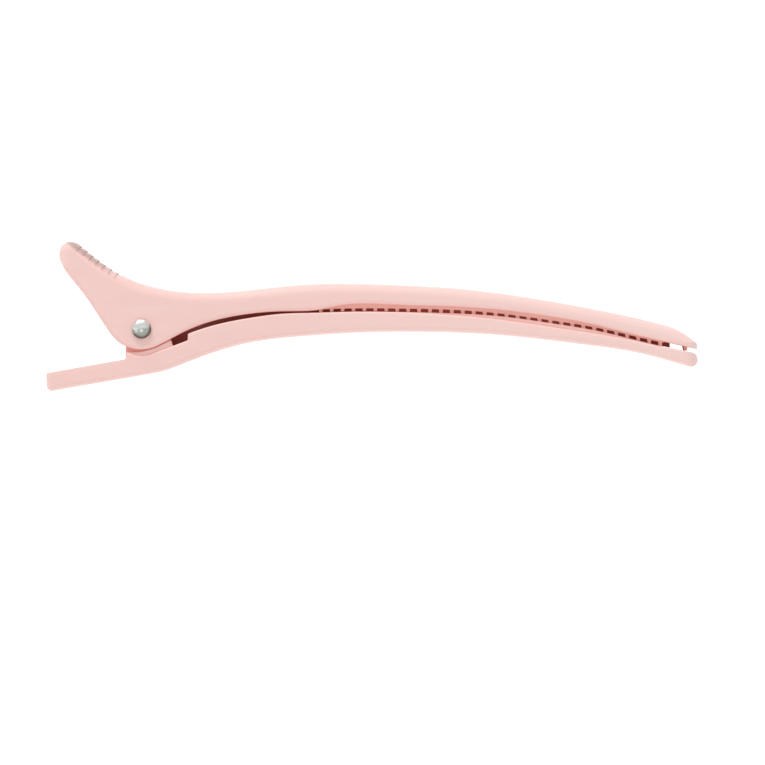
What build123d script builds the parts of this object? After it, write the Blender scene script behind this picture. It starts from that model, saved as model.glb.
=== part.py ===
from build123d import *
import math
import os

# Duckbill hair clip in millimetres. X runs from the levers to the tips of the jaws, Y along
# the hinge and Z up. The clip stands on the end of its lower lever and on the nose of its
# lower jaw, and the origin is on that surface under the middle of the clip.
overall_length = 115.0
hinge_from_tail = 17.1
hinge_height = 10.3

# Heights of the arms over or under the hinge axis
thumb_rise = 15.8
crown_rise = 6.7
rim_rise = 1.7
arch_drop = 2.05

# Widths across the clip
arm_width = 14.0
tip_width = 8.5
full_width_past_hinge = 12.4
tip_corner = 2.4

# Walls and rounded edges
wall = 1.5
crown_round = 1.6
lip_round = 0.7
belly_round = 0.8
rim_round = 0.3
rest_gap = 0.08

# Thumb lever
thumb_setback = 3.1
thumb_round = 1.9
thumb_slope = 40.5
thumb_under_slope = 75.0
thumb_end_wall = 3.0
groove_count = 7
groove_pitch = 1.35
groove_from_nose = 1.0
groove_width = 0.65
groove_depth = 0.13
groove_reach = 0.95

# Lower lever
lever_rise = 7.7
lever_depth = 3.1
tail_round = 0.9
bend_past_hinge = 1.9

# Ears about the hinge
ear_drop = 3.65
ear_round = 6.5
heel_angle = 56.0
ear_leave = 24.5
scallop_radius = 4.75
scallop_start = 124.0
scallop_leave = 18.5
shelf_setback = 0.5
shelf_gap = 0.2
opening_angle = 25.0
riser_from_hinge = 3.05
riser_wall = 1.5
riser_round = 0.6
step_round = 0.25
step_from_hinge = 8.05
inner_ear_wall = 1.5
inner_ear_radius = 4.6
inner_ear_lean = 50.0
inner_ear_front = 5.1
inner_ear_front_drop = 2.2
inner_ear_foot = 6.3
inner_ear_front_angle = 10.0
inner_ear_setback = 0.1
ear_gap = 0.25

# Jaws
nose_height = 2.52
nose_slope = 18.0
nose_join = 10.0
beak_gap = 0.5
beak_depth = 1.0
beak_slope = 36.0
parting_slope = 15.0
rim_slope = 20.0
slot_height = 1.85
comb_wall = 1.2
comb_setback = 1.3
root_height = 1.18
tooth_pitch = 1.925
tooth_root = 0.78
tooth_tip = 0.56
rail_height = 0.68
rail_wall = 0.65
rail_gap = 0.15
keel_wall = 1.2
keel_depth = 0.5
keel_gap = 0.25
keel_foot_drop = 1.6
keel_from_hinge = 4.4
keel_past_cavity = 0.4
nub_depth = 1.1
nub_length = 0.9

# Rivet and spring
shaft_radius = 1.0
shaft_gap = 0.05
head_radius = 1.69
head_height = 0.95
head_rim = 0.2
wire_radius = 0.42
coil_radius = 2.25
coil_turns = 5
coil_end_gap = 0.2
upper_leg_angle = 134.0
upper_leg_length = 8.5
lower_leg_angle = 246.0
lower_leg_length = 5.7
lower_leg_bend = 1.4
lower_leg_reach = 9.0

# Crest of the upper jaw: station as a share of the way from hinge to tip, height as a
# share of the rise from the beak to the crown
CROWN = (
    (0.04, 1.007),
    (0.14, 0.933),
    (0.29, 0.998),
    (0.43, 0.963),
    (0.58, 0.860),
    (0.72, 0.677),
    (0.86, 0.438),
    (0.935, 0.283),
    (0.975, 0.150),
)

# Back of the thumb lever: distance behind the hinge as a share of the lever's reach,
# height as a share of the rise from the crown to the thumb end
THUMB_BACK = ((0.493, 0.576), (0.20, 0.276))

# Underside of the thumb lever: distance behind the hinge as a share of the lever's reach,
# height as a share of the thumb end's rise over the hinge
THUMB_UNDER = ((1.075, 1.05), (1.01, 0.845), (0.949, 0.714), (0.734, 0.444), (0.519, 0.142))

# Where the jaws part: station, height of the lower rim as a share of its rise from the nose,
# opening up to the upper lip as a share of slot_height
PARTING = (
    (0.083, 0.698, 0.360),
    (0.142, 0.865, 0.430),
    (0.20, 0.957, 0.380),
    (0.26, 1.008, 0.210),
    (0.316, 1.000, 0.240),
    (0.36, 0.998, 0.620),
    (0.467, 0.952, 0.676),
    (0.557, 0.865, 0.805),
    (0.647, 0.742, 0.924),
    (0.737, 0.571, 1.000),
    (0.827, 0.396, 0.770),
    (0.883, 0.267, 0.550),
    (0.939, 0.120, 0.510),
)

# Comb: station, height of the teeth's roots over the lower rim as a share of root_height,
# height of the rail in front of the teeth as a share of rail_height
COMB = (
    (0.30, 0.36, 0.00),
    (0.36, 0.49, 0.00),
    (0.467, 0.534, 0.05),
    (0.557, 0.78, 0.45),
    (0.647, 0.924, 0.86),
    (0.737, 1.00, 1.00),
    (0.827, 0.90, 0.75),
    (0.883, 0.68, 0.30),
    (0.939, 0.635, 0.05),
)
comb_first = 0.3235
comb_last = 0.936
nub_station = 0.9785
cavity_end = 0.947

# Underside of the lower jaw: station, height as a share of the arch
BELLY = (
    (0.074, 0.479),
    (0.14, 0.733),
    (0.20, 0.885),
    (0.286, 0.967),
    (0.40, 1.000),
    (0.52, 0.955),
    (0.646, 0.830),
    (0.79, 0.572),
    (0.90, 0.318),
    (0.95, 0.140),
)

# Places worked out from the sizes
tail_x = -overall_length / 2
tip_x = overall_length / 2
hinge_x = tail_x + hinge_from_tail
jaw_length = tip_x - hinge_x
thumb_x = tail_x + thumb_setback
thumb_reach = hinge_x - thumb_x
half_arm = arm_width / 2
half_tip = tip_width / 2
crown_height = hinge_height + crown_rise
thumb_height = hinge_height + thumb_rise
rim_height = hinge_height + rim_rise
arch_height = hinge_height - arch_drop
beak_height = nose_height + beak_gap
beak_top = beak_height + beak_depth
straight_x = hinge_x + full_width_past_hinge
inner_ear_face = half_arm - wall - ear_gap
ear_channel = inner_ear_face - inner_ear_wall
rail_setback = comb_setback - rail_gap - rail_wall
beyond = 4.0
far = 40.0


def at_hinge(dx, dz):
    return (hinge_x + dx, hinge_height + dz)


def polar(centre, radius, degrees):
    angle = math.radians(degrees)
    return (centre[0] + radius * math.cos(angle), centre[1] + radius * math.sin(angle))


def along(start, length, degrees):
    """The point a given length away from another, in a given direction."""
    return polar(tuple(start)[:2], length, degrees)


def direction(degrees):
    return polar((0, 0), 1, degrees)


def station(share):
    return hinge_x + share * jaw_length


def arc_about(centre, radius, start, end):
    middle = (start + end) / 2
    return ThreePointArc(
        polar(centre, radius, start), polar(centre, radius, middle), polar(centre, radius, end)
    )


def half_width(x):
    """Half the clip's width: full past the hinge, then on one long arc to the tip."""
    run = tip_x - straight_x
    pull_in = half_arm - half_tip
    radius = (run**2 + pull_in**2) / (2 * pull_in)
    past = max(0.0, x - straight_x)
    return half_arm - (radius - math.sqrt(radius**2 - past**2))


def plan(inset, start, end, corner=0.0):
    """Outline from above between two places, drawn in from the sides by the inset."""
    near = half_arm - inset
    last = half_width(end) - inset
    turn = end - corner
    side = half_width(turn) - inset
    lower = [
        Line((start, -near), (straight_x, -near)),
        TangentArc((straight_x, -near), (turn, -side), tangent=(1, 0)),
    ]
    upper = [
        TangentArc((straight_x, near), (turn, side), tangent=(1, 0)),
        Line((straight_x, near), (start, near)),
    ]
    if corner:
        point = last - corner
        lower.append(TangentArc((turn, -side), (end, -point), tangent=lower[1] % 1))
        upper.append(TangentArc((turn, side), (end, point), tangent=upper[0] % 1))
        last = point
    edges = lower + upper + [Line((end, -last), (end, last)), Line((start, near), (start, -near))]
    return make_face(edges)


def upright(face):
    """The outline from above as a tall block."""
    return extrude(Plane.XY.offset(-far) * face, amount=2 * far)


def across(face, half=far):
    """An outline from the side, carried across the clip to both sides."""
    return extrude(Plane.XZ.offset(-half) * face, amount=2 * half)


def polygon(*points):
    return make_face(Polyline(*points, close=True))


def side_edges(solid, lowest, highest):
    """Long edges between a side face and the surface that runs across the clip."""
    found = []
    for edge in solid.edges():
        middle = edge.position_at(0.5)
        heading = edge.tangent_at(0.5)
        seam = edge.geom_type == GeomType.LINE and abs(heading.Z) > 0.99
        seam = seam and abs(middle.X - straight_x) < 1
        on_side = abs(middle.Y) > 0.8 * half_tip and abs(heading.Y) < 0.3
        if on_side and lowest < middle.Z < highest and not seam:
            found.append(edge)
    return found


def shifted(points, depth):
    """Points of a line moved square to it: to its right where the depth is above zero."""
    moved = []
    for index, point in enumerate(points):
        before = points[max(index - 1, 0)]
        after = points[min(index + 1, len(points) - 1)]
        run = math.dist(before, after)
        dx = (after[0] - before[0]) / run
        dz = (after[1] - before[1]) / run
        moved.append((point[0] + depth * dz, point[1] - depth * dx))
    return moved


def rim_at(share):
    return nose_height + share * (rim_height - nose_height)


def height_at(curve, x):
    """Height of a curve that runs from left to right, at one place along it."""
    low, high = 0.0, 1.0
    for _ in range(40):
        middle = (low + high) / 2
        if (curve @ middle).X < x:
            low = middle
        else:
            high = middle
    return (curve @ low).Y


def rim_points():
    return [(station(row[0]), rim_at(row[1])) for row in PARTING]


def lip_points():
    return [(station(row[0]), rim_at(row[1]) + row[2] * slot_height) for row in PARTING]


nose_centre = (tip_x - nose_height / 2, nose_height / 2)
rim_end = polar(nose_centre, nose_height / 2, 90 - parting_slope)
rim_line = Spline(*rim_points(), rim_end, tangents=[direction(rim_slope), direction(-parting_slope)])


def over_rim(column, height):
    """Points over the lower rim at the comb's stations, by one column of its table."""
    points = []
    for row in COMB:
        x = station(row[0])
        points.append((x, height_at(rim_line, x) + row[column] * height))
    return points


def thumb_back_points():
    rise = thumb_height - crown_height
    return [(hinge_x - back * thumb_reach, crown_height + up * rise) for back, up in THUMB_BACK]


def crown_points():
    rise = crown_height - beak_top
    points = [(station(share), beak_top + up * rise) for share, up in CROWN]
    beak = (tip_x, beak_top)
    return points + [beak, along(beak, beyond, -beak_slope)]


scallop_end = polar((hinge_x, hinge_height), scallop_radius, 270 + scallop_leave)
step_foot = (
    hinge_x + step_from_hinge,
    scallop_end[1]
    + (hinge_x + step_from_hinge - scallop_end[0]) * math.tan(math.radians(scallop_leave)),
)
thumb_centre = (thumb_x + thumb_round, thumb_height - thumb_round)
thumb_top = polar(thumb_centre, thumb_round, 90 - thumb_slope)
back_line = [thumb_top] + thumb_back_points() + crown_points()


def back_curve():
    return Spline(*back_line, tangents=[direction(-thumb_slope), direction(-beak_slope)])


def upper_crust():
    """Everything under the upper arm's back, with the long upper edges rounded."""
    nose = arc_about(thumb_centre, thumb_round, 90 - thumb_slope, 180)
    back = back_curve()
    end = back_line[-1]
    front = nose @ 1
    outline = [
        back,
        nose,
        Line(front, (front.X, -beyond)),
        Line((front.X, -beyond), (end[0], -beyond)),
        Line((end[0], -beyond), end),
    ]
    body = across(make_face(outline)) & upright(plan(0, thumb_x - beyond, tip_x + 2 * beyond))
    return fillet(side_edges(body, 0, thumb_height), crown_round)


def ear_bottom():
    centre = at_hinge(0, ear_round - ear_drop)
    return arc_about(centre, ear_round, 270 - heel_angle, 270 + ear_leave)


def upper_shell():
    """Everything over the upper arm's underside, with the long lower edges rounded."""
    ear = ear_bottom()
    under = [
        (hinge_x - back * thumb_reach, hinge_height + up * thumb_rise) for back, up in THUMB_UNDER
    ]
    lever = Spline(*under, ear @ 0, tangents=[direction(-thumb_under_slope), ear % 0])
    beak = (tip_x, beak_height)
    ends = [beak, along(beak, beyond, -parting_slope)]
    under_jaw = [ear @ 1] + lip_points() + ends
    jaw = Spline(*under_jaw, tangents=[ear % 1, direction(-parting_slope)])
    end = jaw @ 1
    start = lever @ 0
    outline = [
        lever,
        ear,
        jaw,
        Line(end, (end.X, far)),
        Line((end.X, far), (start.X, far)),
        Line((start.X, far), start),
    ]
    body = across(make_face(outline)) & upright(plan(0, thumb_x - beyond, tip_x + 2 * beyond))
    return fillet(side_edges(body, 0, thumb_height + 1), lip_round)


def tooth_outline(x, roots):
    """One tooth seen from the side: from inside the root strip down to the lower rim."""
    left = x - tooth_tip / 2
    right = x + tooth_tip / 2
    top = height_at(roots, x) + root_height / 2
    return polygon(
        (x - tooth_root / 2, top),
        (x + tooth_root / 2, top),
        (right, height_at(rim_line, right) + rest_gap),
        (left, height_at(rim_line, left) + rest_gap),
    )


def side_strips(block, inset, thickness, start, end):
    """What a block has along both sides of the jaws, set in from the sides by the inset."""
    inner = plan(inset + thickness, start - beyond, end + beyond)
    return (block & upright(plan(inset, start, end))) - upright(inner)


def comb():
    """Root strips of the upper jaw with their teeth, one inside each side."""
    roots = Spline(*over_rim(1, root_height))
    top = Spline(*[(x, z + root_height) for x, z in over_rim(1, root_height)])
    strip = make_face([roots, top, Line(roots @ 0, top @ 0), Line(roots @ 1, top @ 1)])
    count = int((comb_last - comb_first) * jaw_length / tooth_pitch + 0.01) + 1
    places = [station(comb_first) + index * tooth_pitch for index in range(count)]
    block = across(strip)
    for x in places:
        block = block + across(tooth_outline(x, roots))
    start = station(comb_first) - tooth_root
    return side_strips(block, comb_setback, comb_wall, start, station(cavity_end))


def upper_hollow():
    """Channel inside the upper arm, open below."""
    ceiling = shifted(back_line, wall)
    start = thumb_x + thumb_end_wall
    end = station(cavity_end)
    line = Spline(*ceiling[1:-2])
    slope = math.tan(math.radians(thumb_slope))
    head = (start, (line @ 0).Y + slope * ((line @ 0).X - start))
    tail = line @ 1
    outline = [
        Line(head, line @ 0),
        line,
        Line(tail, (end, tail.Y)),
        Line((end, tail.Y), (end, -beyond)),
        Line((end, -beyond), (start, -beyond)),
        Line((start, -beyond), head),
    ]
    return across(make_face(outline)) & upright(plan(wall, start, end))


def keel():
    """Rib down the middle of the upper jaw that closes the view between the teeth."""
    start = hinge_x + keel_from_hinge
    end = station(cavity_end) + keel_past_cavity
    foot = step_foot[1] - keel_foot_drop
    step = step_foot[0]
    floor = lower_floor()[1]
    over_nose = (floor @ 1).X - keel_gap
    edge = []
    for x, z in rim_points():
        if x < over_nose - keel_gap:
            edge.append((x, max(z - keel_depth, height_at(floor, x) + keel_gap)))
    edge.append((over_nose, height_at(floor, over_nose) + keel_gap))
    bottom = Spline(*edge)
    crest = shifted(back_line, wall / 2)
    top = Spline(*[point for point in crest if hinge_x < point[0] < end + 2 * beyond])
    places = (over_nose, (over_nose + end) / 2, end)
    rise, middle, last = [(x, height_at(rim_line, x) + rest_gap) for x in places]
    outline = [
        Line((start, foot), (step, foot)),
        Line((step, foot), bottom @ 0),
        bottom,
        Line(bottom @ 1, rise),
        ThreePointArc(rise, middle, last),
        Line(last, (end, far)),
        Line((end, far), (start, far)),
        Line((start, far), (start, foot)),
    ]
    under_back = [
        top,
        Line(top @ 0, ((top @ 0).X, -beyond)),
        Line(((top @ 0).X, -beyond), ((top @ 1).X, -beyond)),
        Line(((top @ 1).X, -beyond), top @ 1),
    ]
    half = keel_wall / 2
    return across(make_face(outline), half) & across(make_face(under_back), half)


def nub():
    """Small rib across the beak that comes down to the lower jaw."""
    x = station(nub_station)
    foot = height_at(rim_line, x) + rest_gap
    top = foot + nub_depth
    tip = nub_length / 4
    outline = polygon(
        (x - nub_length / 2, top),
        (x + nub_length / 2, top),
        (x + tip, foot),
        (x - tip, foot),
    )
    return across(outline) & upright(plan(crown_round, thumb_x, tip_x))


def thumb_grooves():
    """Shallow grooves across the back of the thumb lever, carried over its rounded edges."""
    back = back_curve()
    under = RectangleRounded(arm_width - 2 * groove_depth, arm_width, crown_round - groove_depth)
    band = Rectangle(arm_width + 2 * groove_depth, 2 * groove_reach)
    outline = band - Pos(0, -half_arm - groove_depth) * under
    slots = []
    for index in range(groove_count):
        place = groove_from_nose + index * groove_pitch
        centre = back.position_at(place, position_mode=PositionMode.LENGTH)
        heading = back.tangent_at(place, position_mode=PositionMode.LENGTH)
        section = Plane(
            origin=(centre.X, 0, centre.Y), x_dir=(0, 1, 0), z_dir=(heading.X, 0, heading.Y)
        )
        slots.append(extrude(section * outline, amount=groove_width / 2, both=True))
    return slots


def hinge_bore(radius):
    return across(Pos(hinge_x, hinge_height) * Circle(radius))


def upper_arm():
    """Thumb lever, ears and upper jaw in one moulding."""
    end = upright(plan(0, thumb_x - beyond, tip_x, tip_corner))
    body = upper_crust() & upper_shell() & end
    body = body - upper_hollow()
    body = body + comb() + keel() + nub()
    return body - thumb_grooves() - hinge_bore(shaft_radius + shaft_gap)


def belly_line():
    """Underside of the lower arm: tail corner, lever, belly and nose."""
    corner = (tail_x + tail_round, tail_round)
    tail = arc_about(corner, tail_round, 180, 270 + lever_rise)
    bend_x = hinge_x + bend_past_hinge
    rise = (bend_x - (tail @ 1).X) * math.tan(math.radians(lever_rise))
    bend = (bend_x, (tail @ 1).Y + rise)
    belly = [(station(share), up * arch_height) for share, up in BELLY]
    nose = arc_about(nose_centre, nose_height / 2, 270 - nose_slope, 360 - nose_join)
    under = Spline(bend, *belly, nose @ 0, tangents=[direction(lever_rise), direction(-nose_slope)])
    return tail, Line(tail @ 1, bend), under, nose


def lower_crust():
    """Everything over the lower arm's underside, with the long lower edges rounded."""
    chain = belly_line()
    start = chain[0] @ 0
    end = along(chain[3] @ 1, far, 90 - nose_join)
    outline = list(chain) + [
        Line(chain[3] @ 1, end),
        Line(end, (start.X, end[1])),
        Line((start.X, end[1]), start),
    ]
    body = across(make_face(outline)) & upright(plan(0, tail_x - beyond, tip_x + beyond))
    return fillet(side_edges(body, -1, far - 1), belly_round)


def corners_at(face, *points):
    """Corners of an outline that lie at the given points."""
    near = []
    for point in points:
        place = tuple(point)[:2]
        for corner in face.vertices():
            if math.dist((corner.X, corner.Y), place) < rest_gap:
                near.append(corner)
    return near


def rim_chain():
    """Top edge of the lower arm's side from the riser to the nose."""
    centre = (hinge_x, hinge_height)
    arc = arc_about(centre, scallop_radius, 360 - scallop_start, 270 + scallop_leave)
    foot = Line(arc @ 1, step_foot)
    step = Line(step_foot, rim_line @ 0)
    nose = arc_about(nose_centre, nose_height / 2, 90 - parting_slope, nose_join)
    return arc, foot, step, rim_line, nose


def lever_top(x):
    """Height of the lower lever's top edge at one place."""
    run = x - tail_x
    return lever_depth + run * math.tan(math.radians(lever_rise))


def lower_shell():
    """Everything under the lower arm's top edge."""
    chain = rim_chain()
    riser_top = chain[0] @ 0
    riser_x = hinge_x - riser_from_hinge
    riser_foot = (riser_x, lever_top(riser_x))
    start = (tail_x - beyond, lever_top(tail_x - beyond))
    end = along(chain[4] @ 1, beyond, nose_join - 90)
    outline = list(chain) + [
        Line(riser_top, riser_foot),
        Line(riser_foot, start),
        Line(start, (start[0], end[1])),
        Line((start[0], end[1]), end),
        Line(end, chain[4] @ 1),
    ]
    side = make_face(outline)
    side = fillet(corners_at(side, riser_foot), riser_round)
    side = fillet(corners_at(side, step_foot, rim_line @ 0), step_round)
    body = across(side) & upright(plan(0, tail_x - beyond, tip_x + beyond))
    start = (rim_line @ 0).X
    edges = [edge for edge in side_edges(body, 0, rim_height + 1) if edge.position_at(0.5).X > start]
    return fillet(edges, rim_round)


def lower_floor():
    """Line of the lower arm's inside floor, from the tail to the solid nose."""
    tail, lever, under, nose = belly_line()
    points = [(p.X, p.Y) for p in [lever @ 0, lever @ 1]]
    raised = shifted(points, -wall)
    belly = [(station(share), up * arch_height) for share, up in BELLY]
    line = shifted([points[1]] + belly, -wall)
    kept = [point for point in line[1:] if point[0] < station(cavity_end)]
    floor = Spline(raised[1], *kept, tangents=[direction(lever_rise), direction(-nose_slope)])
    return Line(raised[0], raised[1]), floor


def lower_hollow():
    """Channels inside the lower arm, open above."""
    lever, floor = lower_floor()
    start = lever @ 0
    end = floor @ 1
    outline = [
        lever,
        floor,
        Line(end, (end.X, far)),
        Line((end.X, far), (start.X, far)),
        Line((start.X, far), start),
    ]
    lever_start = tail_x + wall
    lever_end = hinge_x - riser_from_hinge - riser_wall
    lever_box = Rectangle(lever_end - lever_start, arm_width - 2 * wall)
    lever_plan = Pos((lever_start + lever_end) / 2, 0) * lever_box
    ear_plan = Pos(hinge_x, 0) * Rectangle(2 * inner_ear_foot + wall, 2 * ear_channel)
    jaw_plan = plan(wall, hinge_x + inner_ear_foot, station(cavity_end))
    room = upright(lever_plan) + upright(ear_plan) + upright(jaw_plan)
    return across(make_face(outline)) & room


def inner_ear_outline():
    centre = (hinge_x, hinge_height)
    top = arc_about(centre, inner_ear_radius, 180 - inner_ear_lean, inner_ear_front_angle)
    back_x = hinge_x - riser_from_hinge + inner_ear_setback
    back = (back_x, lever_top(back_x))
    front = (hinge_x + inner_ear_front, hinge_height - inner_ear_front_drop)
    foot = (hinge_x + inner_ear_foot, hinge_height - inner_ear_foot)
    outline = [
        top,
        Line(top @ 1, front),
        Line(front, foot),
        Line(foot, (back[0], foot[1])),
        Line((back[0], foot[1]), back),
        Line(back, top @ 0),
    ]
    return make_face(outline)


def inner_ears():
    """Two ears of the lower arm that stand inside the upper arm's ears."""
    outline = inner_ear_outline()
    return across(outline, inner_ear_face) - across(outline, ear_channel)


def ear_sweep():
    """Outline of the space that the upper arm's ears pass through as the clip opens."""
    lift = ear_round - ear_drop
    reach = ear_round + shelf_gap
    shut = at_hinge(0, lift)
    opened = polar(at_hinge(0, 0), lift, 90 + opening_angle)
    leave = polar(shut, reach, 270 + ear_leave)
    end = along(leave, ear_round, ear_leave)
    over_lip = polygon(leave, end, (end[0], shut[1]), (leave[0], shut[1]))
    return Pos(*shut) * Circle(reach) + Pos(*opened) * Circle(reach) + over_lip


def ear_shelves():
    """Shelves of the lower arm under the ears, set back a little from its sides."""
    outline = inner_ear_outline() - ear_sweep()
    return across(outline, half_arm - shelf_setback) - across(outline, ear_channel)


def rails():
    """Raised rail along each side of the lower jaw, just outside the teeth."""
    points = over_rim(2, rail_height)
    top = Spline(*points)
    low = [(x, z - root_height) for x, z in over_rim(2, 0)]
    bottom = Spline(*low)
    strip = across(make_face([top, bottom, Line(top @ 0, bottom @ 0), Line(top @ 1, bottom @ 1)]))
    start = station(COMB[0][0])
    end = station(COMB[-1][0])
    return side_strips(strip, rail_setback, rail_wall, start, end)


def lower_arm():
    """Lower lever, inner ears and lower jaw in one moulding."""
    end = upright(plan(0, tail_x - beyond, tip_x, tip_corner))
    body = lower_crust() & lower_shell() & end
    body = body - lower_hollow()
    body = body + inner_ears() + ear_shelves() + rails()
    return body - hinge_bore(shaft_radius + shaft_gap)


def hinge_rivet():
    """Shaft across both arms with a domed head on each side."""
    reach = half_arm + rest_gap
    shaft = across(Pos(hinge_x, hinge_height) * Circle(shaft_radius), reach + head_rim / 2)
    dome_height = head_height - head_rim
    dome_radius = (head_radius**2 + dome_height**2) / (2 * dome_height)
    disc = Pos(0, 0, head_height / 2) * Cylinder(head_radius, head_height)
    head = disc & (Pos(0, 0, head_height - dome_radius) * Sphere(dome_radius))
    left = Pos(hinge_x, reach, hinge_height) * Rot(-90, 0, 0) * head
    right = Pos(hinge_x, -reach, hinge_height) * Rot(90, 0, 0) * head
    return shaft + left + right


def leg_point(polar_angle, y):
    x, z = polar((hinge_x, hinge_height), coil_radius, polar_angle)
    return Vector(x, y, z)


def heading_of(degrees, sideways):
    x, z = direction(degrees)
    return Vector(x, sideways, z)


def torsion_spring():
    """Coil about the hinge with one leg up to the thumb lever and one down to the lower."""
    pitch = 2 * wire_radius + coil_end_gap
    leave = upper_leg_angle - 90
    arrive = lower_leg_angle + 90 - 360
    turns = coil_turns + (leave - arrive) / 360
    half = turns * pitch / 2
    heading = direction(arrive)
    frame = Plane(
        origin=(hinge_x, half, hinge_height),
        x_dir=(heading[0], 0, heading[1]),
        z_dir=(0, -1, 0),
    )
    coil = frame * Helix(pitch, turns * pitch, coil_radius)
    lead = pitch / (2 * math.pi * coil_radius)
    up = leg_point(leave, -half)
    upper = Line(up, up + heading_of(upper_leg_angle, -lead) * upper_leg_length)
    down = leg_point(arrive, half)
    knee = down + heading_of(lower_leg_angle, lead) * lower_leg_length
    end = knee + heading_of(180 + lever_rise, 0) * lower_leg_reach
    lower = FilletPolyline(down, knee, end, radius=lower_leg_bend)
    path = Wire(lower.edges() + [coil] + upper.edges())
    start = Plane(origin=path @ 0, z_dir=path % 0)
    return sweep(start * Circle(wire_radius), path=path)


if __name__ == "__main__":
    os.makedirs("parts", exist_ok=True)
    pieces = {
        "upper_arm": upper_arm(),
        "lower_arm": lower_arm(),
        "hinge_rivet": hinge_rivet(),
        "torsion_spring": torsion_spring(),
    }
    for name, piece in pieces.items():
        box = piece.bounding_box()
        print(name, piece.is_valid, len(piece.solids()), round(piece.volume, 2), box)
        export_step(piece, f"parts/{name}.step")
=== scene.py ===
import math

import bmesh
import bpy
from bpy.props import (
    FloatProperty,
    FloatVectorProperty,
    IntProperty,
    PointerProperty,
)
from mathutils import Matrix, Vector


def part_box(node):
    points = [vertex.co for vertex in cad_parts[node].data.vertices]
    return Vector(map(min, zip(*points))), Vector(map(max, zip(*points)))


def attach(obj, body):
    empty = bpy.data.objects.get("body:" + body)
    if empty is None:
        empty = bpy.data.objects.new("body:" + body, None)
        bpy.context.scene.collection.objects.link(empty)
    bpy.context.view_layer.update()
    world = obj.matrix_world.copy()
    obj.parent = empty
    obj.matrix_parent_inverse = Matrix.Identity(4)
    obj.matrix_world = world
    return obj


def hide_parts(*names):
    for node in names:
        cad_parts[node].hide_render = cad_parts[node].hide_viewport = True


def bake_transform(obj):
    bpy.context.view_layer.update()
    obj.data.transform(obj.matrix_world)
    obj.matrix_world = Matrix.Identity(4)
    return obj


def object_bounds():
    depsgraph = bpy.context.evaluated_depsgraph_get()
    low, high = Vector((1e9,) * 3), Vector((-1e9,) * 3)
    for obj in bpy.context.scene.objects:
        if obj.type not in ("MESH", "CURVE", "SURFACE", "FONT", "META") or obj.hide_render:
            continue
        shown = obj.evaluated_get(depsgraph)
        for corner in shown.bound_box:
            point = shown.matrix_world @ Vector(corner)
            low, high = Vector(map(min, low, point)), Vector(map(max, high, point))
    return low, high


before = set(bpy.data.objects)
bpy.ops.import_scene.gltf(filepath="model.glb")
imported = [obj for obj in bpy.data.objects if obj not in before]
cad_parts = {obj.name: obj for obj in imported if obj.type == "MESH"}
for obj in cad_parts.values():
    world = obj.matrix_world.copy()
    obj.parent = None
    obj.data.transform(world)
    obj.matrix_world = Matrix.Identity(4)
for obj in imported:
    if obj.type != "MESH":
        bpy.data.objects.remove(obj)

bl_info = {
    "name": "Duckbill Hair Clip",
    "version": (1, 0, 0),
    "blender": (4, 5, 0),
    "location": "View3D > Sidebar > Hair Clip",
    "description": "Dresses a moulded duckbill hair clip and sets it on a white table",
    "category": "Object",
}

MM = 0.001
CAD_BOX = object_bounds()
UPPER_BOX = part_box("upper_arm")
LOWER_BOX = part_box("lower_arm")
RIVET_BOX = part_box("hinge_rivet")
HINGE = (RIVET_BOX[0] + RIVET_BOX[1]) / 2
CLIP_LENGTH = LOWER_BOX[1].x - LOWER_BOX[0].x
CHEEK_Y = UPPER_BOX[1].y

# Place along the clip where it starts to narrow, and how far each side draws in to the tip
TAPER_START = -28.0 * MM
TAPER = 2.75 * MM

# Back of the thumb lever: where its grooves start, and the direction square to it
GRIP_START = (-51.3 * MM, 25.6 * MM)
GRIP_DROP = (0.613, 0.790)

# The inner ears: where they end past the hinge, and how far in from the clip's side they stand
EARS_END = (4.2 * MM, 5.0 * MM)
EARS_INSET = 1.3 * MM

# Depths under the clip's side at which the painted shade of the set-back strip and the painted
# dark inside begin
STRIP_DEPTH = (0.20 * MM, 0.45 * MM)
INSIDE_DEPTH = (1.4 * MM, 2.2 * MM)

# How far the painted crease shade and the painted dark inside look for something that closes them
# in
CREASE_REACH = 2.6 * MM
INSIDE_REACH = 6.0 * MM

BLACK = (0.0, 0.0, 0.0)

# Lights, in metres from the frame's origin: place, and width and depth
KEY_PLACE, KEY_SIZE = (-0.3, -0.35, 1.3), (0.5, 0.5)
FILL_PLACE, FILL_SIZE = (0.6, -2.0, 0.6), (1.2, 0.6)

# The photograph: its side in pixels, and the clip's two ends along its own length
PHOTO_SIDE = 765
TAIL_PIXEL = (47.8, 390.7)
CLIP_PIXELS = 650.6
CLIP_TILT = 2.145


# Settings that a user would change


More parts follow.
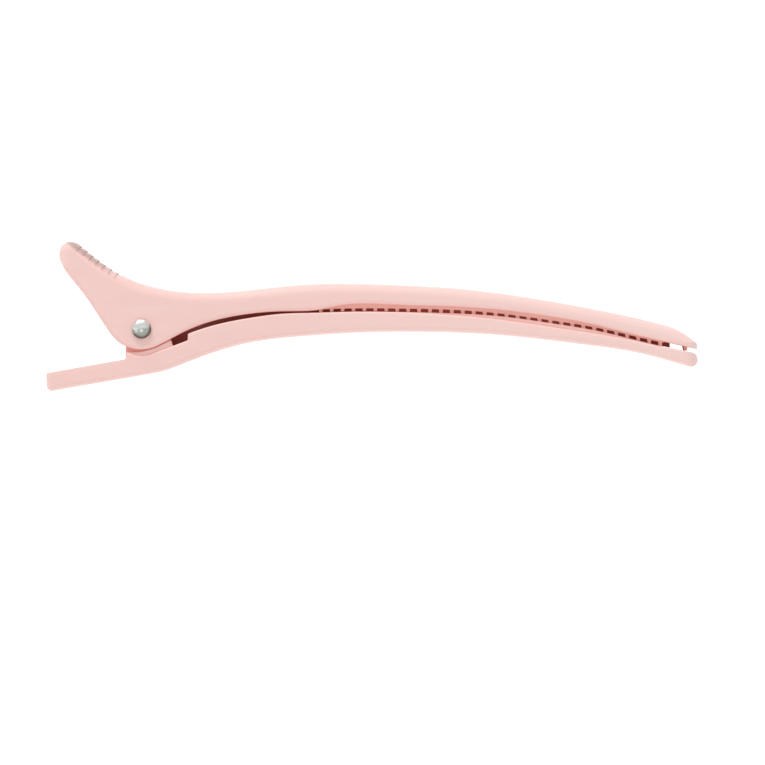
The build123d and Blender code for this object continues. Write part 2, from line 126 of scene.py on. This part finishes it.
class MouldedPlasticSettings(bpy.types.PropertyGroup):
    """Colours, with painted shade and painted light, and finish of the two moulded arms."""

    body: FloatVectorProperty(
        name="Body colour",
        description="Main colour of the plastic",
        subtype="COLOR",
        size=3,
        min=0.0,
        max=1.0,
        default=(0.895, 0.615, 0.575),
    )
    # Painted shade: colour painted into creases and between the teeth
    deep: FloatVectorProperty(
        name="Crease colour",
        description="Richer colour in creases and between the teeth",
        subtype="COLOR",
        size=3,
        min=0.0,
        max=1.0,
        default=(0.74, 0.40, 0.35),
    )
    # Painted shade: dark colour put deep inside the arms, where there is only shade
    inner: FloatVectorProperty(
        name="Inner colour",
        description="Dark colour deep inside, where light only comes through the plastic",
        subtype="COLOR",
        size=3,
        min=0.0,
        max=1.0,
        default=(0.31, 0.062, 0.048),
    )
    # Also painted light: the arms turn towards this colour near the jaws and tips
    pale: FloatVectorProperty(
        name="Rubbed colour",
        description="Paler colour where edges are rubbed",
        subtype="COLOR",
        size=3,
        min=0.0,
        max=1.0,
        default=(0.92, 0.68, 0.64),
    )
    # Painted light: colour that the creases give off
    painted_glow: FloatVectorProperty(
        name="Glow colour",
        description="Light that comes through the plastic into its creases",
        subtype="COLOR",
        size=3,
        min=0.0,
        max=1.0,
        default=(0.42, 0.19, 0.155),
    )
    # Painted shade: darker, greyer colour along the grooved back of the thumb lever
    groove_shade: FloatVectorProperty(
        name="Handled colour",
        description="Greyer colour along the grooved back of the thumb lever",
        subtype="COLOR",
        size=3,
        min=0.0,
        max=1.0,
        default=(0.52, 0.36, 0.33),
    )
    roughness: FloatProperty(
        name="Roughness",
        description="Mean roughness of the satin surface",
        default=0.46,
        min=0.0,
        max=1.0,
        subtype="FACTOR",
    )
    grain: FloatProperty(
        name="Grain size",
        description="Size of the fine moulded grain",
        default=0.28 * MM,
        min=0.02 * MM,
        unit="LENGTH",
    )
    glow_depth: FloatProperty(
        name="Light depth",
        description="How far light travels under the plastic's surface",
        default=0.9 * MM,
        min=0.0,
        unit="LENGTH",
    )


class RivetSettings(bpy.types.PropertyGroup):
    """Sizes and colours of the plated rivet, some of them painted shade."""

    head_radius: FloatProperty(
        name="Head radius",
        description="Radius of the domed head",
        default=(RIVET_BOX[1].x - RIVET_BOX[0].x) / 2,
        unit="LENGTH",
    )
    head_height: FloatProperty(
        name="Head height",
        description="Height of the dome over the cheek",
        default=0.95 * MM,
        unit="LENGTH",
    )
    seat_gap: FloatProperty(
        name="Seat gap",
        description="Gap between the head and the cheek of the upper arm",
        default=0.08 * MM,
        unit="LENGTH",
    )
    rim: FloatProperty(
        name="Rim",
        description="Height of the head's upright rim",
        default=0.2 * MM,
        unit="LENGTH",
    )
    shaft_radius: FloatProperty(
        name="Shaft radius",
        description="Radius of the shaft through both arms",
        default=1.0 * MM,
        unit="LENGTH",
    )
    dimple_radius: FloatProperty(
        name="Dimple radius",
        description="Radius of the small dimple the closing tool leaves",
        default=0.42 * MM,
        unit="LENGTH",
    )
    dimple_depth: FloatProperty(
        name="Dimple depth",
        description="Depth of that dimple",
        default=0.07 * MM,
        unit="LENGTH",
    )
    plate: FloatVectorProperty(
        name="Plate colour",
        description="Colour of the bright plating",
        subtype="COLOR",
        size=3,
        min=0.0,
        max=1.0,
        default=(0.90, 0.92, 0.90),
    )
    # Partly tarnish, partly painted shade and reflection: the patches gather towards the head's
    # lower side
    dull: FloatVectorProperty(
        name="Dull colour",
        description="Colour of the dull, greenish patches in the plating",
        subtype="COLOR",
        size=3,
        min=0.0,
        max=1.0,
        default=(0.36, 0.39, 0.34),
    )
    # Partly grime, partly painted shade: dark colour at the head's rim, stronger at its lower side
    rim_grime_and_shade: FloatVectorProperty(
        name="Grime colour",
        description="Brown film that collects at the lower edge of the head",
        subtype="COLOR",
        size=3,
        min=0.0,
        max=1.0,
        default=(0.13, 0.09, 0.075),
    )


class SpringSettings(bpy.types.PropertyGroup):
    """Sizes and colour of the torsion spring."""

    wire_radius: FloatProperty(
        name="Wire radius",
        description="Radius of the spring wire",
        default=0.42 * MM,
        unit="LENGTH",
    )
    coil_radius: FloatProperty(
        name="Coil radius",
        description="Radius of the coil about the hinge, to the middle of the wire",
        default=2.25 * MM,
        unit="LENGTH",
    )
    turn_gap: FloatProperty(
        name="Turn gap",
        description="Gap between two turns of the coil",
        default=0.2 * MM,
        unit="LENGTH",
    )
    whole_turns: IntProperty(
        name="Whole turns",
        description="Whole turns of the coil between its two legs",
        default=5,
        min=1,
    )
    upper_heading: FloatProperty(
        name="Upper leg heading",
        description="Direction of the leg that bears on the thumb lever",
        default=math.radians(134.0),
        subtype="ANGLE",
    )
    upper_length: FloatProperty(
        name="Upper leg length",
        description="Length of the leg that bears on the thumb lever",
        default=8.5 * MM,
        unit="LENGTH",
    )
    lower_heading: FloatProperty(
        name="Lower leg heading",
        description="Direction of the leg that goes down to the lower lever",
        default=math.radians(246.0),
        subtype="ANGLE",
    )
    lower_length: FloatProperty(
        name="Lower leg length",
        description="Length of the lower leg down to its bend",
        default=5.7 * MM,
        unit="LENGTH",
    )
    foot_heading: FloatProperty(
        name="Foot heading",
        description="Direction of the foot that lies along the lower lever's floor",
        default=math.radians(187.7),
        subtype="ANGLE",
    )
    foot_length: FloatProperty(
        name="Foot length",
        description="Length of that foot, measured from the bend's corner",
        default=9.0 * MM,
        unit="LENGTH",
    )
    bend_radius: FloatProperty(
        name="Bend radius",
        description="Radius of the bend between the lower leg and its foot",
        default=1.4 * MM,
        unit="LENGTH",
    )
    steel: FloatVectorProperty(
        name="Steel colour",
        description="Colour of the drawn wire",
        subtype="COLOR",
        size=3,
        min=0.0,
        max=1.0,
        default=(0.52, 0.53, 0.54),
    )


class StageSettings(bpy.types.PropertyGroup):
    """Floor, light and camera."""

    floor: FloatVectorProperty(
        name="Floor colour",
        description="Colour of the plain floor and backdrop",
        subtype="COLOR",
        size=3,
        min=0.0,
        max=1.0,
        default=(0.08, 0.08, 0.08),
    )
    lens: FloatProperty(
        name="Lens",
        description="Focal length of the camera in millimetres",
        default=400.0,
        min=1.0,
    )
    elevation: FloatProperty(
        name="Elevation",
        description="Height of the camera over the horizon, as an angle",
        default=math.radians(0.6),
        subtype="ANGLE",
    )
    key_power: FloatProperty(
        name="Key light",
        description="Power of the large soft light overhead",
        default=10.8,
        min=0.0,
        unit="POWER",
    )
    fill_power: FloatProperty(
        name="Fill light",
        description="Power of the soft light beside the camera",
        default=0.3,
        min=0.0,
        unit="POWER",
    )
    sky: FloatProperty(
        name="Room light",
        description="Strength of the even white light all round",
        default=0.59,
        min=0.0,
    )
    floor_glow: FloatProperty(
        name="Floor glow",
        description="Light that the floor and backdrop give off, so that they stay plain white",
        default=0.98,
        min=0.0,
    )


SETTINGS = {
    "clip_plastic": MouldedPlasticSettings,
    "clip_rivet": RivetSettings,
    "clip_spring": SpringSettings,
    "clip_stage": StageSettings,
}


# Shader maths


class Shade:
    """One output socket of a shader node, with the operators its maths is written in."""

    def __init__(self, maker, socket):
        self.maker = maker
        self.socket = socket

    def _math(self, operation, first, second):
        values = {0: first, 1: second}
        return self.maker.node("ShaderNodeMath", {"operation": operation}, values)

    def __add__(self, other):
        return self._math("ADD", self, other)

    __radd__ = __add__

    def __sub__(self, other):
        return self._math("SUBTRACT", self, other)

    def __rsub__(self, other):
        return self._math("SUBTRACT", other, self)

    def __mul__(self, other):
        return self._math("MULTIPLY", self, other)

    __rmul__ = __mul__

    def __truediv__(self, other):
        return self._math("DIVIDE", self, other)

    def __pow__(self, other):
        return self._math("POWER", self, other)

    def at_least(self, low):
        return self._math("MAXIMUM", self, low)

    def at_most(self, high):
        return self._math("MINIMUM", self, high)

    def size(self):
        """The value without its sign."""
        return (self**2.0) ** 0.5

    def between(self, low, high):
        """0 below low, 1 above high, and smooth in the middle."""
        settings = {"interpolation_type": "SMOOTHSTEP"}
        values = {"Value": self, "From Min": low, "From Max": high}
        return self.maker.node("ShaderNodeMapRange", settings, values)


class MaterialMaker:
    """A material whose nodes are made by calls, with one Principled shader."""

    def __init__(self, name):
        self.material = bpy.data.materials.new(name)
        self.material.use_nodes = True
        self.tree = self.material.node_tree
        self.tree.nodes.clear()
        self.output = self.tree.nodes.new("ShaderNodeOutputMaterial")
        self.shader = self.tree.nodes.new("ShaderNodeBsdfPrincipled")
        self.tree.links.new(self.shader.outputs[0], self.output.inputs["Surface"])

    def node(self, kind, settings=None, values=None, output=0):
        """Any node: its type, its settings, and the values or links of its sockets."""
        made = self.tree.nodes.new(kind)
        for name, value in (settings or {}).items():
            setattr(made, name, value)
        for name, value in (values or {}).items():
            self._feed(made.inputs[name], value)
        return Shade(self, made.outputs[output])

    def _feed(self, socket, value):
        if isinstance(value, Shade):
            self.tree.links.new(value.socket, socket)
        elif hasattr(socket.default_value, "__len__") and len(socket.default_value) == 4:
            socket.default_value = (*tuple(value)[:3], 1.0)
        else:
            socket.default_value = value

    def surface(self, **values):
        """Values or links of the Principled shader's sockets, spaces written as underscores."""
        for name, value in values.items():
            self._feed(self.shader.inputs[name.replace("_", " ")], value)
        return self.material

    def pick(self, shade, name):
        """Another output of the node that a value comes from."""
        return Shade(self, shade.socket.node.outputs[name])

    def place(self, scale=(1.0, 1.0, 1.0)):
        """Position on the object, in metres times the scale."""
        position = self.node("ShaderNodeTexCoord", output="Object")
        settings = {"operation": "MULTIPLY"}
        return self.node("ShaderNodeVectorMath", settings, {0: position, 1: scale})

    def noise(self, position, size, detail=3.0, roughness=0.5):
        """Smooth noise from 0 to 1 whose main lumps have the given size in metres."""
        values = {
            "Vector": position,
            "Scale": 1.0 / size,
            "Detail": detail,
            "Roughness": roughness,
        }
        return self.node("ShaderNodeTexNoise", None, values, output="Fac")

    def blend(self, share, first, second):
        """Colour between two colours."""
        settings = {"data_type": "RGBA", "blend_type": "MIX"}
        values = {0: share, 6: first, 7: second}
        return self.node("ShaderNodeMix", settings, values, output=2)

    def behind(self, share, colour, painted_glow):
        """A dull, even colour that gives off faint painted light, put in the surface's place by a
        share from 0 to 1; it paints shade where the surface is closed in.
        """
        settings = {
            "Base Color": colour,
            "Roughness": 1.0,
            "Specular IOR Level": 0.0,
            "Emission Color": painted_glow,
            "Emission Strength": 1.0,
        }
        dull = self.node("ShaderNodeBsdfPrincipled", None, settings)
        values = {0: share, 1: Shade(self, self.shader.outputs[0]), 2: dull}
        mixed = self.node("ShaderNodeMixShader", None, values)
        self.tree.links.new(mixed.socket, self.output.inputs["Surface"])
        return self.material

    def openness(self, reach):
        """1 where nothing stands within reach of the surface, 0 where it is closed in."""
        values = {"Distance": reach}
        return self.node("ShaderNodeAmbientOcclusion", {"samples": 8}, values, output="AO")

    def bump(self, height, depth, normal=None):
        """Normal of a relief whose height runs from 0 to 1 over the given depth in metres."""
        values = {"Height": height, "Distance": depth, "Strength": 1.0}
        if normal is not None:
            values["Normal"] = normal
        return self.node("ShaderNodeBump", None, values, output="Normal")


# Materials


def depth_below_side(right, across):
    """How far a place lies in from the clip's side, which draws in towards the tip."""
    past = (right - TAPER_START).at_least(0.0) / (UPPER_BOX[1].x - TAPER_START)
    at_ears = 1.0 - (right - HINGE.x).between(*EARS_END)
    return CHEEK_Y - TAPER * past * past - across.size() - at_ears * EARS_INSET


def moulded_plastic(name, settings, seed):
    """Satin moulded plastic, with painted shade and painted light in its creases and a painted
    dark red shade where it is closed in.
    """
    maker = MaterialMaker(name)
    position = maker.place()
    shift = {0: position, 1: (seed, 2 * seed, 3 * seed)}
    place = maker.node("ShaderNodeVectorMath", {"operation": "ADD"}, shift)

    grain = maker.noise(place, settings.grain, detail=4.0, roughness=0.6)
    ripple = maker.noise(place, 6.0 * MM, detail=2.0)
    lengthwise = {0: place, 1: (0.12, 1.0, 1.0)}
    along = maker.node("ShaderNodeVectorMath", {"operation": "MULTIPLY"}, lengthwise)
    streaks = maker.noise(along, 2.4 * MM, detail=3.0, roughness=0.55)

    # Where on the clip, and which way the surface faces
    parts = maker.node("ShaderNodeSeparateXYZ", None, {0: position})
    right, up = maker.pick(parts, "X"), maker.pick(parts, "Z")
    outward = maker.node("ShaderNodeNewGeometry", output="Normal")
    facing = maker.node("ShaderNodeSeparateXYZ", None, {0: outward})
    downward = 1.0 - maker.pick(facing, "Z").between(-0.6, -0.1)
    sideways = maker.pick(facing, "Y").size().between(0.90, 0.97)
    to_floor = downward * (1.0 - up.between(3.0 * MM, 7.0 * MM))
    off_floor = up.between(0.8 * MM, 3.0 * MM)

    # Painted shade: in creases and on the strip the teeth stand on, and a painted dark inside
    # behind them
    sunk = depth_below_side(right, maker.pick(parts, "Y"))
    deep_in = sunk.between(*INSIDE_DEPTH)
    closed = 1.0 - maker.openness(CREASE_REACH).between(0.30, 0.92)
    set_back_shade = sunk.between(*STRIP_DEPTH) * sideways * 0.6
    crease_shade = (closed + set_back_shade).at_most(1.0) * off_floor
    # Painted shade: a dark inside where the surface is sunk and closed in
    hidden = 1.0 - maker.openness(INSIDE_REACH).between(0.30, 0.70)
    inside = hidden * (1.0 - to_floor) * deep_in

    # Rubbed edges, and painted shade along the grooved back of the thumb lever
    pointed = maker.node("ShaderNodeNewGeometry", output="Pointiness")
    rubbed = pointed.between(0.52, 0.60) * streaks.between(0.35, 0.7)
    over_back = (right - GRIP_START[0]) * GRIP_DROP[0] + (up - GRIP_START[1]) * GRIP_DROP[1]
    level = up + (ripple - 0.5) * 1.5 * MM
    grip = over_back.between(-1.2 * MM, -0.5 * MM) * level.between(19.6 * MM, 22.5 * MM)

    # Painted light: paler towards the jaws and paler again at their tips, with faint flow marks
    flow_and_painted_light = streaks.between(0.3, 0.75) * 0.25 + ripple * 0.10
    flow_and_painted_light = flow_and_painted_light + right.between(-30.0 * MM, 25.0 * MM) * 0.45
    flow_and_painted_light = flow_and_painted_light + right.between(38.0 * MM, 54.0 * MM) * 0.25
    with_painted_light = maker.blend(flow_and_painted_light, settings.body, settings.pale)
    edged = maker.blend(rubbed * 0.5, with_painted_light, settings.pale)
    with_painted_shade = maker.blend(grip * 0.85, edged, settings.groove_shade)
    # Painted shade in creases and on the set-back strip, and painted light given off by the
    # creases
    colour = maker.blend(crease_shade * 0.7, with_painted_shade, settings.deep)
    painted_glow = maker.blend(crease_shade * (1.0 - deep_in), BLACK, settings.painted_glow)

    rough = settings.roughness + (grain - 0.5) * 0.10 + (ripple - 0.5) * 0.08 - rubbed * 0.10
    rough = rough + crease_shade * 0.3
    soft_edge = maker.node("ShaderNodeBevel", {"samples": 6}, {"Radius": 0.10 * MM})
    waves = maker.bump(ripple, 0.03 * MM, soft_edge)
    maker.surface(
        Base_Color=colour,
        Roughness=rough,
        Normal=maker.bump(grain, 0.010 * MM, waves),
        Subsurface_Weight=0.25,
        Subsurface_Radius=(1.0, 0.42, 0.34),
        # Painted light: the creases give off a faint glow
        Subsurface_Scale=settings.glow_depth,
        Emission_Color=painted_glow,
        Emission_Strength=0.30,
        Specular_IOR_Level=0.22,
        IOR=1.49,
    )

    # Painted light: the painted dark inside gives off more light between the teeth, and less again
    # near the tip
    at_comb = right.between(-9.0 * MM, 3.0 * MM)
    near_tip = right.between(30.0 * MM, 48.0 * MM)
    through = 0.13 + at_comb * 0.30 - near_tip * 0.18
    return maker.behind(inside, settings.inner, maker.blend(through, BLACK, settings.inner))


def rivet_plate(settings):
    """Bright plating over a hammered head, with tarnish patches and painted shade and reflection
    darker towards its lower side, a painted highlight spot and a dark rim of dirt and painted
    shade.
    """
    maker = MaterialMaker("rivet_plate")
    place = maker.place()
    dents = maker.noise(place, 0.9 * MM, detail=2.0)
    haze = maker.noise(place, 0.45 * MM, detail=4.0, roughness=0.65)
    scratches_place = maker.place((1.0, 0.2, 6.0))
    scratches = maker.noise(scratches_place, 0.25 * MM, detail=3.0)

    parts = maker.node("ShaderNodeSeparateXYZ", None, {0: place})
    right = (maker.pick(parts, "X") - HINGE.x) / settings.head_radius
    up = (maker.pick(parts, "Z") - HINGE.z) / settings.head_radius
    rim = (right * right + up * up) ** 0.5
    # Painted shade and reflection: darker towards the bottom and right of the head, broken up by
    # tarnish noise
    low = 0.46 - up * 0.55 + right * 0.12 + (haze - 0.5) * 0.8
    # Painted highlight: a small spot over the dimple keeps the bright plate colour
    painted_highlight_spot = 1.0 - ((right * right + (up + 0.16) ** 2.0) ** 0.5).between(0.08, 0.24)
    patches = low.between(0.20, 0.66) * (1.0 - painted_highlight_spot)
    # Partly grime, partly painted shade: a dark rim, stronger at the lower side
    rim_grime_and_shade = rim.between(0.55, 0.98) * low.between(0.30, 0.68)
    with_painted_shade = maker.blend(patches, settings.plate, settings.dull)
    colour = maker.blend(rim_grime_and_shade, with_painted_shade, settings.rim_grime_and_shade)
    rough = 0.32 + patches * 0.06 + scratches * 0.08
    dented = maker.bump(dents, 0.05 * MM)
    normal = maker.bump(scratches, 0.006 * MM, dented)
    return maker.surface(Base_Color=colour, Metallic=1.0, Roughness=rough, Normal=normal)


def drawn_wire(settings):
    """Drawn steel wire with fine lines along it and a film of oil."""
    maker = MaterialMaker("drawn_wire")
    place = maker.place()
    film = maker.noise(place, 1.2 * MM, detail=3.0)
    lines = maker.noise(maker.place((1.0, 6.0, 1.0)), 0.2 * MM, detail=3.0)
    darker = tuple(0.6 * part for part in settings.steel)
    colour = maker.blend(film.between(0.4, 0.75) * 0.6, settings.steel, darker)
    rough = 0.28 + film * 0.12 + lines * 0.08
    normal = maker.bump(lines, 0.005 * MM)
    return maker.surface(Base_Color=colour, Metallic=1.0, Roughness=rough, Normal=normal)


def table_white(settings):
    """Plain pale surface of the floor and backdrop."""
    maker = MaterialMaker("table_white")
    fibre = maker.noise(maker.place(), 1.5 * MM, detail=2.0)
    shade = tuple(0.97 * part for part in settings.floor)
    colour = maker.blend(fibre, settings.floor, shade)
    return maker.surface(
        Base_Color=colour,
        Roughness=0.9,
        Specular_IOR_Level=0.1,
        Emission_Color=(1.0, 1.0, 1.0),
        Emission_Strength=settings.floor_glow,
    )


# Mesh helpers


def mesh_object(name, bm, material):
    """A new object from a bmesh, shaded smooth."""
    for face in bm.faces:
        face.smooth = True
    mesh = bpy.data.meshes.new(name)
    bm.to_mesh(mesh)
    bm.free()
    mesh.materials.append(material)
    made = bpy.data.objects.new(name, mesh)
    bpy.context.scene.collection.objects.link(made)
    return made


def dress(node, material):
    """Gives a solid of the frame its material, in place of any it has."""
    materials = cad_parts[node].data.materials
    materials.clear()
    materials.append(material)


def ring_of(bm, centre, across, up, radius, sides):
    """One ring of vertices round a point."""
    ring = []
    for index in range(sides):
        turn = 2 * math.pi * index / sides
        offset = across * math.cos(turn) + up * math.sin(turn)
        ring.append(bm.verts.new(centre + offset * radius))
    return ring


def join_rings(bm, first, second):
    """Faces between two rings with as many vertices each."""
    count = len(first)
    for index in range(count):
        after = (index + 1) % count
        bm.faces.new((first[index], first[after], second[after], second[index]))


def tube_along(bm, path, radius, sides):
    """Round wire along a list of points, with domed ends."""
    tangent = (path[1] - path[0]).normalized()
    across = tangent.orthogonal().normalized()
    rings = []
    dome_steps = 4
    for step in range(1, dome_steps + 1):
        turn = math.pi / 2 * step / (dome_steps + 1)
        back = path[0] - tangent * radius * math.cos(turn) * 0.6
        rings.append((back, tangent, math.sin(turn) * radius))
    for index, point in enumerate(path):
        before = path[max(index - 1, 0)]
        after = path[min(index + 1, len(path) - 1)]
        rings.append((point, (after - before).normalized(), radius))
    last = (path[-1] - path[-2]).normalized()
    for step in range(dome_steps, 0, -1):
        turn = math.pi / 2 * step / (dome_steps + 1)
        front = path[-1] + last * radius * math.cos(turn) * 0.6
        rings.append((front, last, math.sin(turn) * radius))
    made = []
    for centre, heading, size in rings:
        across = (across - heading * across.dot(heading)).normalized()
        up = heading.cross(across)
        made.append(ring_of(bm, centre, across, up, size, sides))
    for first, second in zip(made, made[1:]):
        join_rings(bm, first, second)
    bm.faces.new(list(reversed(made[0])))
    bm.faces.new(made[-1])


# Pieces


def rivet_profile(settings):
    """Half outline of the rivet: (distance from its axis, distance along it)."""
    seat = CHEEK_Y + settings.seat_gap
    top = seat + settings.head_height
    radius = settings.head_radius
    dome = settings.head_height - settings.rim
    points = [(settings.shaft_radius, 0.0), (settings.shaft_radius, seat)]
    points += [(radius * 0.97, seat), (radius, seat + 0.04 * MM)]
    steps = 14
    for step in range(steps + 1):
        share = step / steps
        out = radius * math.cos(share * math.pi / 2)
        rise = settings.rim + dome * math.sin(share * math.pi / 2) ** 0.9
        pressed = 1.0 - min(1.0, out / settings.dimple_radius) ** 2
        rise -= settings.dimple_depth * max(0.0, pressed)
        points.append((max(out, 0.0), min(seat + rise, top)))
    return points


def build_rivet(settings):
    """Lathed rivet with a domed, slightly dimpled head on each side."""
    bm = bmesh.new()
    sides = 48
    at_axis = 1e-7
    profile = rivet_profile(settings)
    across, up = Vector((1, 0, 0)), Vector((0, 0, 1))
    middle = None
    for side in (-1, 1):
        last = None
        for out, along in profile:
            centre = HINGE + Vector((0, side * along, 0))
            if out < at_axis:
                tip = bm.verts.new(centre)
                for index in range(sides):
                    after = (index + 1) % sides
                    bm.faces.new((last[index], last[after], tip))
                continue
            if along == 0.0 and middle is not None:
                ring = middle
            else:
                ring = ring_of(bm, centre, across, up, out, sides)
            if along == 0.0:
                middle = ring
            if last is not None:
                join_rings(bm, last, ring)
            last = ring
    bmesh.ops.recalc_face_normals(bm, faces=bm.faces)
    return mesh_object("rivet", bm, rivet_plate(settings))


def heading_vector(angle, sideways=0.0):
    """Direction at an angle up from the clip's length, with a part across the clip."""
    return Vector((math.cos(angle), sideways, math.sin(angle)))


def spring_path(settings):
    """Points of the wire: the foot and lower leg, the coil, then the upper leg."""
    pitch = 2 * settings.wire_radius + settings.turn_gap
    leave = settings.upper_heading - math.pi / 2
    arrive = settings.lower_heading + math.pi / 2 - 2 * math.pi
    turns = settings.whole_turns + (leave - arrive) / (2 * math.pi)
    half = turns * pitch / 2
    lead = pitch / (2 * math.pi * settings.coil_radius)

    coil = []
    steps = settings.whole_turns * 40
    for step in range(steps + 1):
        share = step / steps
        angle = arrive + share * turns * 2 * math.pi
        out = heading_vector(angle) * settings.coil_radius
        coil.append(HINGE + out + Vector((0, half - share * turns * pitch, 0)))

    down = heading_vector(settings.lower_heading, lead)
    knee = coil[0] + down * settings.lower_length
    foot = heading_vector(settings.foot_heading)
    down_unit = down.normalized()
    corner = down_unit.angle(foot)
    setback = settings.bend_radius * math.tan(corner / 2)
    first = knee - down_unit * setback
    last = knee + foot * setback
    inward = (foot - down_unit * foot.dot(down_unit)).normalized()
    centre = first + inward * settings.bend_radius
    bend = []
    bend_steps = 10
    for step in range(bend_steps + 1):
        turn = corner * step / bend_steps
        spoke = -inward * math.cos(turn) + down_unit * math.sin(turn)
        bend.append(centre + spoke * settings.bend_radius)
    end = knee + foot * settings.foot_length
    lower = [end, (end + last) / 2] + list(reversed(bend)) + [(first + coil[0]) / 2]

    up = heading_vector(settings.upper_heading, -lead)
    upper = [coil[-1] + up * settings.upper_length * share for share in (0.25, 0.5, 0.75, 1.0)]
    return lower + coil + upper, half


def build_spring(settings):
    """Torsion spring whose legs lie along the two closed arms."""
    path, half = spring_path(settings)
    bm = bmesh.new()
    tube_along(bm, path, settings.wire_radius, 16)
    bmesh.ops.recalc_face_normals(bm, faces=bm.faces)
    made = mesh_object("spring", bm, drawn_wire(settings))
    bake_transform(made)
    return made


# Stage


def photo_point(pixel):
    """Place in metres that a pixel of the photograph shows, just this side of the middle."""
    size = CLIP_LENGTH / CLIP_PIXELS
    right = (pixel[0] - TAIL_PIXEL[0]) * size
    up = (TAIL_PIXEL[1] - pixel[1]) * size
    tilt = math.radians(CLIP_TILT)
    along = right * math.cos(tilt) + up * math.sin(tilt)
    rise = up * math.cos(tilt) - right * math.sin(tilt)
    return Vector((LOWER_BOX[0].x + along, -CHEEK_Y / 3, rise))


def build_camera(settings):
    """Camera at the photograph's angle, with the clip as large and as tilted as there."""
    data = bpy.data.cameras.new("camera")
    data.lens = settings.lens
    data.sensor_width = 36.0
    made = bpy.data.objects.new("camera", data)
    bpy.context.scene.collection.objects.link(made)
    width = PHOTO_SIDE * CLIP_LENGTH / CLIP_PIXELS
    distance = width * data.lens / data.sensor_width
    rise = settings.elevation
    tilt = math.radians(CLIP_TILT)
    back = Vector((0, -math.cos(rise), math.sin(rise)))
    level = Vector((1, 0, 0))
    upward = Vector((0, math.sin(rise), math.cos(rise)))
    right = level * math.cos(tilt) - upward * math.sin(tilt)
    up = level * math.sin(tilt) + upward * math.cos(tilt)
    aim = photo_point((PHOTO_SIDE / 2, PHOTO_SIDE / 2))
    turn = Matrix((right, up, back)).transposed().to_4x4()
    made.matrix_world = Matrix.Translation(aim + back * distance) @ turn
    data.clip_start = 0.01
    data.clip_end = 20.0
    bpy.context.scene.camera = made
    return made


def build_floor(settings):
    """Pale floor that curves up into a backdrop."""
    bm = bmesh.new()
    half_width = 3.0
    front = -3.0
    bend_start = 1.2
    bend_radius = 0.8
    height = 2.5
    line = [(front, 0.0), (bend_start, 0.0)]
    steps = 16
    for step in range(1, steps + 1):
        turn = math.pi / 2 * step / steps
        back = bend_start + bend_radius * math.sin(turn)
        line.append((back, bend_radius * (1 - math.cos(turn))))
    line.append((bend_start + bend_radius, height))
    rows = []
    for y, z in line:
        rows.append([bm.verts.new((x, y, z)) for x in (-half_width, half_width)])
    for low, high in zip(rows, rows[1:]):
        bm.faces.new((low[0], low[1], high[1], high[0]))
    return mesh_object("floor", bm, table_white(settings))


def soft_light(name, place, target, size, power):
    """Rectangular light of a width and depth in metres, turned to its target."""
    data = bpy.data.lights.new(name, "AREA")
    data.shape = "RECTANGLE"
    data.size, data.size_y = size
    data.energy = power
    made = bpy.data.objects.new(name, data)
    bpy.context.scene.collection.objects.link(made)
    made.location = place
    made.rotation_mode = "QUATERNION"
    made.rotation_quaternion = (Vector(place) - Vector(target)).to_track_quat("Z", "Y")
    return made


def build_world(settings):
    """Even white light all round, shown without a film look."""
    world = bpy.data.worlds.new("studio")
    world.use_nodes = True
    background = world.node_tree.nodes["Background"]
    background.inputs["Color"].default_value = (1.0, 1.0, 1.0, 1.0)
    background.inputs["Strength"].default_value = settings.sky
    bpy.context.scene.world = world
    bpy.context.scene.view_settings.view_transform = "Standard"


# Operators


class CLIP_OT_arms(bpy.types.Operator):
    """Finish both moulded arms"""

    bl_idname = "clip.arms"
    bl_label = "Arms"

    def execute(self, context):
        settings = context.scene.clip_plastic
        dress("upper_arm", moulded_plastic("upper_plastic", settings, 0.0))
        dress("lower_arm", moulded_plastic("lower_plastic", settings, 0.37))
        return {"FINISHED"}


class CLIP_OT_rivet(bpy.types.Operator):
    """Put the plated rivet through the hinge"""

    bl_idname = "clip.rivet"
    bl_label = "Rivet"

    def execute(self, context):
        made = build_rivet(context.scene.clip_rivet)
        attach(made, "lower")
        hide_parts("hinge_rivet")
        return {"FINISHED"}


class CLIP_OT_spring(bpy.types.Operator):
    """Wind the torsion spring about the rivet"""

    bl_idname = "clip.spring"
    bl_label = "Spring"

    def execute(self, context):
        made = build_spring(context.scene.clip_spring)
        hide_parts("torsion_spring")
        return {"FINISHED"}


class CLIP_OT_stage(bpy.types.Operator):
    """Set the floor, the lights and the camera"""

    bl_idname = "clip.stage"
    bl_label = "Stage"

    def execute(self, context):
        settings = context.scene.clip_stage
        middle = (CAD_BOX[0] + CAD_BOX[1]) / 2
        key = soft_light("key_light", KEY_PLACE, middle, KEY_SIZE, settings.key_power)
        fill = soft_light("fill_light", FILL_PLACE, middle, FILL_SIZE, settings.fill_power)
        floor = build_floor(settings)
        build_camera(settings)
        build_world(settings)
        return {"FINISHED"}


OPERATORS = (CLIP_OT_arms, CLIP_OT_rivet, CLIP_OT_spring, CLIP_OT_stage)


class CLIP_PT_panel(bpy.types.Panel):
    """Buttons for each piece of the clip"""

    bl_idname = "CLIP_PT_panel"
    bl_label = "Duckbill Hair Clip"
    bl_space_type = "VIEW_3D"
    bl_region_type = "UI"
    bl_category = "Hair Clip"

    def draw(self, context):
        for operator in OPERATORS:
            self.layout.operator(operator.bl_idname)
        for name, group in SETTINGS.items():
            box = self.layout.box()
            box.label(text=group.__doc__)
            for key in group.__annotations__:
                box.prop(getattr(context.scene, name), key)


CLASSES = (*SETTINGS.values(), *OPERATORS, CLIP_PT_panel)


def register():
    for made in CLASSES:
        bpy.utils.register_class(made)
    for name, group in SETTINGS.items():
        setattr(bpy.types.Scene, name, PointerProperty(type=group))


def unregister():
    for name in SETTINGS:
        delattr(bpy.types.Scene, name)
    for made in reversed(CLASSES):
        bpy.utils.unregister_class(made)


def main():
    """Registers the add-on and builds every piece in order."""
    register()
    for operator in OPERATORS:
        group, name = operator.bl_idname.split(".")
        getattr(getattr(bpy.ops, group), name)()


if __name__ == "__main__":
    main()
